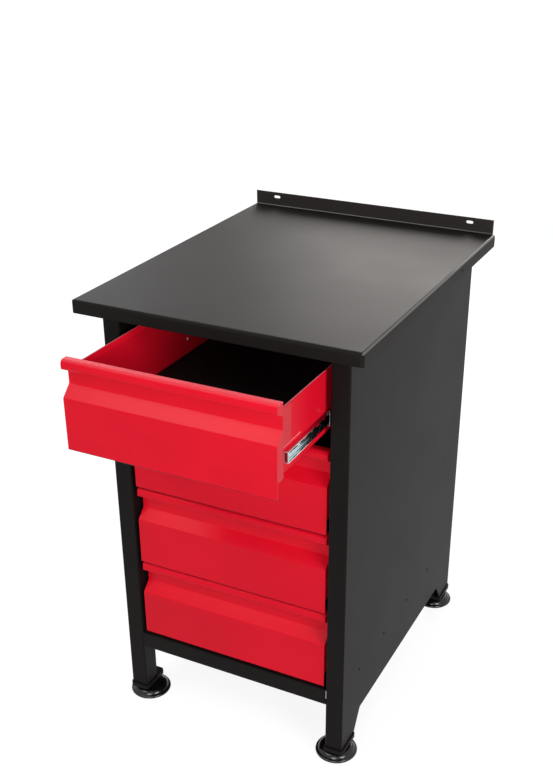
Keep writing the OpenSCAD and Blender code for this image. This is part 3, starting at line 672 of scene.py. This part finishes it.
def dress(scene, node, material=None):
    """Stands a smooth, edge-broken copy of a CAD node in its place, its flat faces made whole"""
    sheet = scene.cabinet_sheet
    slot = slot_of(node)
    bm = joined(node)
    bmesh.ops.dissolve_limit(bm, angle_limit=math.radians(0.6), verts=bm.verts, edges=bm.edges)
    edge = EDGES.get(node.rstrip("_1234"), sheet.edge)
    mesh = worked(node, bm, edge, sheet.soft_angle)
    coat = material or finishes(scene.cabinet_paint)[slot]
    placed("dressed_" + node, mesh, coat, body_of(node), node)


def repaint(scene, node):
    """Gives a CAD node that keeps its own mesh the material of its slot"""
    mesh = CAD[node].data
    mesh.materials.clear()
    mesh.materials.append(finishes(scene.cabinet_paint)[slot_of(node)])


def solids_of(node):
    """Lowest and highest corner of each separate solid of a CAD node, in order of place"""
    bm = joined(node)
    left = set(bm.verts)
    boxes = []
    while left:
        reach = [left.pop()]
        low, high = reach[0].co.copy(), reach[0].co.copy()
        while reach:
            v = reach.pop()
            low = Vector(map(min, low, v.co))
            high = Vector(map(max, high, v.co))
            for e in v.link_edges:
                other = e.other_vert(v)
                if other in left:
                    left.discard(other)
                    reach.append(other)
        boxes.append((low, high))
    bm.free()
    return sorted(boxes, key=lambda box: tuple(box[0]))


def ring(bm, centre, radius, height, steps, turn=0.0):
    """New corners round an upright axis"""
    angles = [turn + math.tau * k / steps for k in range(steps)]
    return [
        bm.verts.new(centre + Vector((radius * math.cos(a), radius * math.sin(a), height)))
        for a in angles]


def band(bm, a, b):
    """Faces between two rings, of which one may be a single corner on the axis"""
    steps = max(len(a), len(b))
    for k in range(steps):
        n = (k + 1) % steps
        corners = a[k % len(a)], a[n % len(a)], b[n % len(b)], b[k % len(b)]
        bm.faces.new(tuple(dict.fromkeys(corners)))


def lathe(profile, steps, centre=(0, 0, 0)):
    """Turns a closed outline of (radius, height), with both ends on the axis, round it"""
    bm = bmesh.new()
    rings = [
        ring(bm, Vector(centre), radius, height, 1 if radius < 1e-7 else steps)
        for radius, height in profile]
    for a, b in zip(rings, rings[1:]):
        band(bm, a, b)
    return bm


def arc(centre, radius, start, end, steps):
    """Points of an arc in (radius, height), angles in degrees"""
    angles = [math.radians(start + (end - start) * i / steps) for i in range(steps + 1)]
    return [(centre[0] + radius * math.cos(a), centre[1] + radius * math.sin(a)) for a in angles]


# ---------------------------------------------------------------- node trees


class Tree(Graph):
    """A Geometry Nodes tree with named inputs, ended in Realize Instances and Set Material"""

    def __init__(self, name, **inputs):
        super().__init__(bpy.data.node_groups.new(name, "GeometryNodeTree"))
        self.tree.is_modifier = True
        self.face("Geometry", "INPUT", "Geometry")
        for key, kind in inputs.items():
            self.face(key.replace("_", " "), "INPUT", kind)
        self.face("Geometry", "OUTPUT", "Geometry")
        self.entry = self.tree.nodes.new("NodeGroupInput")
        self.exit = self.tree.nodes.new("NodeGroupOutput")

    def face(self, name, way, kind):
        self.tree.interface.new_socket(name, in_out=way, socket_type="NodeSocket" + kind)

    def given(self, name):
        return Wire(self.tree, self.entry.outputs[name])

    def add(self, kind, settings=(), out=0, **sockets):
        """Adds a node, its sockets by name"""
        named = {key.replace("_", " "): value for key, value in sockets.items()}
        return self.node(kind, settings, named, out)

    def close(self, *parts):
        """Joins the parts in the order given, makes them real and paints them"""
        joint = self.tree.nodes.new("GeometryNodeJoinGeometry")
        for part in parts:
            feed(self.tree, joint.inputs[0], part)
        real = self.add("GeometryNodeRealizeInstances", Geometry=Wire(self.tree, joint.outputs[0]))
        material = self.given("Material")
        painted = self.add("GeometryNodeSetMaterial", Geometry=real, Material=material)
        feed(self.tree, self.exit.inputs[0], painted)
        return self.tree

    @staticmethod
    def run(name, base, tree, **values):
        """Puts the tree on a mesh, sets its inputs by identifier and makes the result plain"""
        holder = linked(name + ".work", base)
        modifier = holder.modifiers.new("tree", "NODES")
        modifier.node_group = tree
        for item in tree.interface.items_tree:
            key = item.name.replace(" ", "_")
            if item.in_out == "INPUT" and key in values:
                modifier[item.identifier] = values[key]
        return made_plain(name, holder)


def rib_tree():
    """Half-round ribs side by side along Y over a mat, each running along X"""
    t = Tree("mat ribs", Width="Float", First="Vector", Count="Int", Pitch="Float",
             Rib_Height="Float", Material="Material")
    step = t.add("ShaderNodeCombineXYZ", Y=t.given("Pitch"))
    rows = t.add("GeometryNodeMeshLine", {"mode": "OFFSET"}, Count=t.given("Count"),
                 Start_Location=t.given("First"), Offset=step)
    half = t.given("Width") * 0.5
    line = t.add("GeometryNodeCurvePrimitiveLine", {"mode": "POINTS"},
                 Start=t.add("ShaderNodeCombineXYZ", X=half * -1.0),
                 End=t.add("ShaderNodeCombineXYZ", X=half))
    profile = t.add("GeometryNodeCurvePrimitiveCircle", {"mode": "RADIUS"}, Resolution=8,
                    Radius=t.given("Rib Height"))
    rib = t.add("GeometryNodeCurveToMesh", Curve=line, Profile_Curve=profile, Fill_Caps=True)
    ribs = t.add("GeometryNodeInstanceOnPoints", Points=rows, Instance=rib)
    return t.close(t.given("Geometry"), ribs)


def rivet_tree():
    """One rivet on each point, its head turned to the point's own axis"""
    t = Tree("rivets", Rivet="Object", Material="Material")
    shape = t.add("GeometryNodeObjectInfo", out="Geometry", Object=t.given("Rivet"))
    axis = t.add("GeometryNodeInputNamedAttribute", {"data_type": "FLOAT_VECTOR"}, Name="axis")
    turn = t.add("FunctionNodeAlignRotationToVector", {"axis": "Z"}, Vector=axis)
    return t.close(t.add("GeometryNodeInstanceOnPoints", Points=t.given("Geometry"),
                         Instance=shape, Rotation=turn))


def thread_tree():
    """A thread's crest wound round an upright axis"""
    t = Tree("thread", Turns="Float", Lead="Float", Radius="Float", Depth="Float",
             Start="Vector", Material="Material")
    wound = t.add("GeometryNodeCurveSpiral", Resolution=24, Rotations=t.given("Turns"),
                  Start_Radius=t.given("Radius"), End_Radius=t.given("Radius"),
                  Height=t.given("Turns") * t.given("Lead"))
    upright = t.add("GeometryNodeSetCurveNormal", {"mode": "Z_UP"}, Curve=wound)
    crest = t.add("GeometryNodeCurvePrimitiveCircle", {"mode": "RADIUS"}, Resolution=4,
                  Radius=t.given("Depth"))
    ridge = t.add("GeometryNodeCurveToMesh", Curve=upright, Profile_Curve=crest, Fill_Caps=True)
    lifted = t.add("GeometryNodeTransform", Geometry=ridge, Translation=t.given("Start"))
    return t.close(t.given("Geometry"), lifted)


# ---------------------------------------------------------------- operators


class CABINET_OT_stand(bpy.types.Operator):
    """Breaks the edges of the stand's sheets, shades their folds as curves and coats them"""

    bl_idname = "cabinet.dress_stand"
    bl_label = "Stand"

    def execute(self, context):
        for node in ("side_frame_left", "side_frame_right", "base_tray", "top_rail_front",
                     "top_rail_rear", "back_panel", "foot_plates"):
            dress(context.scene, node)
        return {"FINISHED"}


class CABINET_OT_worktop(bpy.types.Operator):
    """Coats the worktop pan and finishes the board and the screws inside it"""

    bl_idname = "cabinet.dress_worktop"
    bl_label = "Worktop"

    def execute(self, context):
        dress(context.scene, "worktop_pan")
        repaint(context.scene, "worktop_board")
        dress(context.scene, "worktop_screws")
        return {"FINISHED"}


class CABINET_OT_drawers(bpy.types.Operator):
    """Breaks the edges of the drawer fronts and boxes, shades their folds as curves and paints them
    """

    bl_idname = "cabinet.dress_drawers"
    bl_label = "Drawers"

    def execute(self, context):
        box = box_paint("drawer box paint", context.scene.cabinet_paint.drawers)
        for n in DRAWERS:
            dress(context.scene, f"drawer_front_{n}")
            dress(context.scene, f"drawer_box_{n}", box)
            dress(context.scene, f"drawer_ends_{n}", box)
        return {"FINISHED"}


class CABINET_OT_slides(bpy.types.Operator):
    """Finishes the slide members and their ball cages"""

    bl_idname = "cabinet.dress_slides"
    bl_label = "Slides"

    def execute(self, context):
        zinc = context.scene.cabinet_paint.zinc
        for n in DRAWERS:
            inner = f"drawer_slides_{n}"
            dress(context.scene, f"cabinet_slides_{n}")
            dress(context.scene, f"middle_slides_{n}")
            dress(context.scene, inner, zinc_with_painted_light(f"greased zinc {n}", zinc, inner))
            dress(context.scene, f"outer_cages_{n}")
            dress(context.scene, f"inner_cages_{n}")
        return {"FINISHED"}


class CABINET_OT_mats(bpy.types.Operator):
    """Lays a ribbed mat in each drawer"""

    bl_idname = "cabinet.lay_mats"
    bl_label = "Mats"

    def execute(self, context):
        mats = context.scene.cabinet_mats
        rubber = finishes(context.scene.cabinet_paint)["mat_black"]
        tree = rib_tree()
        for n in DRAWERS:
            low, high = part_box(f"drawer_mat_{n}")
            top = high.z - mats.rib_height
            length = high.y - low.y - 2 * mats.margin
            count = int(length / mats.rib_pitch)
            first = (low.y + high.y - (count - 1) * mats.rib_pitch) / 2
            mesh = Tree.run(
                f"mat_{n}", self.sheet(low, high, top), tree,
                Width=high.x - low.x - 2 * mats.margin, First=(0.0, first, top), Count=count,
                Pitch=mats.rib_pitch, Rib_Height=mats.rib_height, Material=rubber)
            soften(mesh, MAT_CURVE)
            placed(
                f"ribbed_mat_{n}", mesh, rubber, f"drawer_{n}", f"drawer_mat_{n}")
        return {"FINISHED"}

    def sheet(self, low, high, top):
        """The mat under its ribs, with rounded edges"""
        bm = bmesh.new()
        bmesh.ops.create_cube(bm, size=1.0)
        for v in bm.verts:
            v.co = Vector((
                high.x if v.co.x > 0 else low.x,
                high.y if v.co.y > 0 else low.y,
                top if v.co.z > 0 else low.z))
        bmesh.ops.bevel(bm, geom=bm.edges, offset=0.4 * MM, segments=2, affect="EDGES")
        return mesh_of("mat", bm)


class CABINET_OT_rivets(bpy.types.Operator):
    """Sets the rivets of the tray, the back, the drawers and the slides"""

    bl_idname = "cabinet.set_rivets"
    bl_label = "Rivets"

    def execute(self, context):
        scene = context.scene
        tree = rivet_tree()
        for node, way in (("stand_rivets", "out"), ("back_rivets", "back"), ("slide_rivets", "in")):
            coat = finishes(scene.cabinet_paint)[slot_of(node)]
            self.row(scene, node, way, tree, coat)
        # Dull pale zinc, painted near white so that the rivets show a painted glint in the drawer's
        # shade
        dull = zinc_plate("dull rivets", PALE_ZINC_WITH_PAINTED_GLINT).set(Metallic=0.1, Roughness=0.5)
        for n in DRAWERS:
            self.row(scene, f"drawer_rivets_{n}", "out", tree, dull)
        return {"FINISHED"}

    def row(self, scene, node, way, tree, coat):
        """Rivets at a node's solids; way says where their heads look: out or in at the sides,
        or back"""
        boxes = solids_of(node)
        low, high = boxes[0]
        radius = (high.z - low.z) / 2
        reach = high.y - low.y if way == "back" else high.x - low.x
        head = FLUSH_HEAD if "slide" in node else HEAD
        places, axes = [], []
        for low, high in boxes:
            middle = (low + high) / 2
            if way == "back":
                places.append((middle.x, high.y - head, middle.z))
                axes.append((0, 1, 0))
            else:
                out = 1 if (middle.x > 0) == (way == "out") else -1
                places.append(((high.x if out > 0 else low.x) - out * head, middle.y, middle.z))
                axes.append((out, 0, 0))
        if node == "stand_rivets":
            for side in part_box("worktop_pan"):
                places.append((side.x, *PAN_RIVET))
                axes.append((side.x, 0, 0))
        points = bpy.data.meshes.new(node)
        points.from_pydata(places, [], [])
        mark = points.attributes.new("axis", "FLOAT_VECTOR", "POINT")
        mark.data.foreach_set("vector", [c for axis in axes for c in axis])

        steps = scene.cabinet_hardware.rivet_steps
        shape = self.rivet(steps, radius, head, reach - 2 * head)
        mesh = Tree.run(node, points, tree, Rivet=shape, Material=coat)
        bpy.data.objects.remove(shape)
        soften(mesh, RIVET_CURVE)
        placed("set_" + node, mesh, coat, body_of(node), node)

    def rivet(self, steps, radius, head, grip):
        """A set rivet: a domed head with a drawn-in middle above z = 0, its tail under the grip"""
        bulge = (radius ** 2 + head ** 2) / (2 * head)
        foot = math.degrees(math.asin((bulge - head) / bulge))
        dome = arc((0, head - bulge), bulge, foot, 82, 6)
        dip = head - 0.35 * MM
        outline = [
            (0, -grip - head), (TAIL * 0.8, -grip - head), (TAIL, -grip - head * 0.5),
            (TAIL, -grip), (SHANK, -grip), (SHANK, 0), (radius - 0.1 * MM, 0),
            *dome, (dome[-1][0] * 0.8, dip), (0, dip)]
        return linked("rivet", mesh_of("rivet", lathe(outline, steps)))


class CABINET_OT_feet(bpy.types.Operator):
    """Turns the feet, cuts the studs' threads and finishes the nuts"""

    bl_idname = "cabinet.set_feet"
    bl_label = "Feet"

    def execute(self, context):
        hardware = context.scene.cabinet_hardware
        paints = finishes(context.scene.cabinet_paint)
        thread = thread_tree()
        for i in FEET:
            self.pad(i, hardware, paints["foot_plastic"])
            self.stud(i, hardware, paints["zinc"], thread)
        dress(context.scene, "foot_nuts")
        return {"FINISHED"}

    def pad(self, i, hardware, plastic):
        """A low domed disc with a rolled rim and a hub round the stud's socket"""
        low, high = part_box(f"foot_pad_{i}")
        centre = ((low.x + high.x) / 2, (low.y + high.y) / 2, low.z)
        radius = max(high.x - low.x, high.y - low.y) / 2
        tall = high.z - low.z
        rim = 3.5 * MM
        socket = 6.05 * MM
        socket_floor = tall - 9 * MM
        hub = socket + 6 * MM
        outline = [
            (0, 0), (radius - rim - 0.5 * MM, 0),
            *arc((radius - rim, rim), rim, -80, 62, 12),
            *arc((radius * 0.62, 3 * MM), tall - 4 * MM, 24, 80, 12),
            (hub + 2.2 * MM, tall - 1.0 * MM), (hub + 0.6 * MM, tall - 0.6 * MM),
            (hub, tall - 0.2 * MM), (hub - 0.5 * MM, tall), (socket + 0.4 * MM, tall),
            (socket, tall - 0.4 * MM), (socket, socket_floor), (0, socket_floor)]
        mesh = mesh_of(f"foot_{i}", lathe(outline, hardware.foot_steps, centre))
        soften(mesh, FOOT_CURVE)
        pad = f"foot_pad_{i}"
        placed(f"foot_disc_{i}", mesh, plastic, pad, pad)

    def stud(self, i, hardware, zinc, tree):
        """A threaded stud with a chamfered hexagonal collar"""
        stud = f"foot_stud_{i}"
        low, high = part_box(stud)
        centre = Vector(((low.x + high.x) / 2, (low.y + high.y) / 2, 0))
        depth = hardware.thread_depth
        core = 5 * MM - depth
        neck = 6 * MM
        collar = low.z + 9 * MM
        collar_top = collar + 3 * MM
        start = collar_top + 0.6 * MM
        end = high.z - 1.6 * MM
        bm = lathe([
            (0, low.z), (neck - 0.5 * MM, low.z), (neck, low.z + 0.5 * MM), (neck, collar),
            (core, collar), (core, high.z - 0.8 * MM), (core - 0.9 * MM, high.z), (0, high.z)],
            32, centre)
        self.collar(bm, centre, collar, collar_top, 8 * MM)
        mesh = Tree.run(
            f"stud_{i}", mesh_of("stud", bm), tree,
            Turns=(end - start) / hardware.thread_pitch, Lead=hardware.thread_pitch,
            Radius=core, Depth=depth, Start=(centre.x, centre.y, start), Material=zinc)
        soften(mesh, FOOT_CURVE)
        placed(f"foot_screw_{i}", mesh, zinc, stud, stud)

    def collar(self, bm, centre, bottom, top, half):
        """A hexagonal prism with its corners chamfered, flats facing along X"""
        turn = math.pi / 6
        corner = half / math.cos(turn)
        chamfer = 0.7 * MM
        outline = ((corner - chamfer, bottom), (corner, bottom + chamfer * 0.6),
                   (corner, top - chamfer * 0.6), (corner - chamfer, top))
        rings = [ring(bm, centre, radius, z, 6, turn) for radius, z in outline]
        for a, b in zip(rings, rings[1:]):
            band(bm, a, b)
        bm.faces.new(reversed(rings[0]))
        bm.faces.new(rings[-1])


class CABINET_OT_studio(bpy.types.Operator):
    """Sets the camera, the lamps and the pale floor"""

    bl_idname = "cabinet.set_studio"
    bl_label = "Studio"

    def execute(self, context):
        scene = context.scene
        studio = scene.cabinet_studio
        scene.camera = self.camera(studio.lens)
        for name, (at, towards, size, power, colour) in LAMPS.items():
            self.lamp(name, at, towards, size, power * studio.lamps, colour)
        self.floor()
        scene.world = self.world(studio.surroundings)
        scene.view_settings.view_transform = "Standard"
        return {"FINISHED"}

    def camera(self, lens):
        data = bpy.data.cameras.new("camera")
        data.lens = lens
        data.sensor_width = 36
        data.shift_x, data.shift_y = CAMERA_SHIFT
        data.clip_start = 0.05
        data.clip_end = 60
        return aimed("camera", data, CAMERA_AT, CAMERA_AIM)

    def lamp(self, name, at, towards, size, power, colour):
        data = bpy.data.lights.new(name, "AREA")
        data.shape = "DISK"
        data.size = size
        data.energy = power
        data.color = colour
        aimed(name, data, at, towards)

    def floor(self):
        bm = bmesh.new()
        bmesh.ops.create_grid(bm, x_segments=1, y_segments=1, size=FLOOR_SIZE)
        mesh = mesh_of("floor", bm)
        floor = linked("floor", mesh)
        f = Finish("pale floor", Specular_IOR_Level=0.0, Roughness=1.0)
        seen = f.node("ShaderNodeLightPath", out="Is Camera Ray")
        mirrored = f.node("ShaderNodeLightPath", out="Is Glossy Ray")
        around = {"Vector": f.stretched(1 / FLOOR_FADE, 1 / FLOOR_FADE, 1)}
        near = f.node("ShaderNodeTexGradient", {"gradient_type": "SPHERICAL"}, around, out="Fac")
        mesh.materials.append(f.set(
            Base_Color=(0.2, 0.2, 0.2, 1),
            Emission_Color=f.mix(f.ramp(near, 0.0, 0.7), WHITE, (FLOOR_GLOW,) * 3),
            Emission_Strength=seen + mirrored))

    def world(self, strength):
        """White to the camera and in reflections, and a weak light from all round"""
        world = bpy.data.worlds.new("studio")
        world.use_nodes = True
        graph = Graph(world.node_tree)
        background = graph.tree.nodes["Background"]
        background.inputs["Color"].default_value = (1, 1, 1, 1)
        seen, mirrored, through = (
            graph.node("ShaderNodeLightPath", out=f"Is {kind} Ray")
            for kind in ("Camera", "Glossy", "Transmission"))
        shown = (seen + mirrored + through).least(1.0)
        feed(graph.tree, background.inputs["Strength"], shown * (1.0 - strength) + strength)
        return world


class CABINET_PT_panel(bpy.types.Panel):
    """The cabinet's steps and sizes"""

    bl_label = "Drawer cabinet"
    bl_idname = "CABINET_PT_panel"
    bl_space_type = "VIEW_3D"
    bl_region_type = "UI"
    bl_category = "Cabinet"

    def draw(self, context):
        for step in STEPS:
            self.layout.operator(step.bl_idname)
        for group in GROUPS:
            settings = getattr(context.scene, group)
            box = self.layout.box()
            for key in settings.bl_rna.properties.keys():
                if key not in ("rna_type", "name"):
                    box.prop(settings, key)


GROUPS = {
    "cabinet_paint": CabinetPaint, "cabinet_sheet": CabinetSheet, "cabinet_mats": CabinetMats,
    "cabinet_hardware": CabinetHardware, "cabinet_studio": CabinetStudio}
STEPS = (
    CABINET_OT_stand, CABINET_OT_worktop, CABINET_OT_drawers, CABINET_OT_slides, CABINET_OT_mats,
    CABINET_OT_rivets, CABINET_OT_feet, CABINET_OT_studio)


def register():
    for kind in (*GROUPS.values(), *STEPS, CABINET_PT_panel):
        bpy.utils.register_class(kind)
    for name, kind in GROUPS.items():
        setattr(bpy.types.Scene, name, bpy.props.PointerProperty(type=kind))


def unregister():
    for name in GROUPS:
        delattr(bpy.types.Scene, name)
    for kind in reversed((*GROUPS.values(), *STEPS, CABINET_PT_panel)):
        bpy.utils.unregister_class(kind)


def main():
    register()
    for step in STEPS:
        group, action = step.bl_idname.split(".")
        getattr(getattr(bpy.ops, group), action)()


if __name__ == "__main__":
    main()
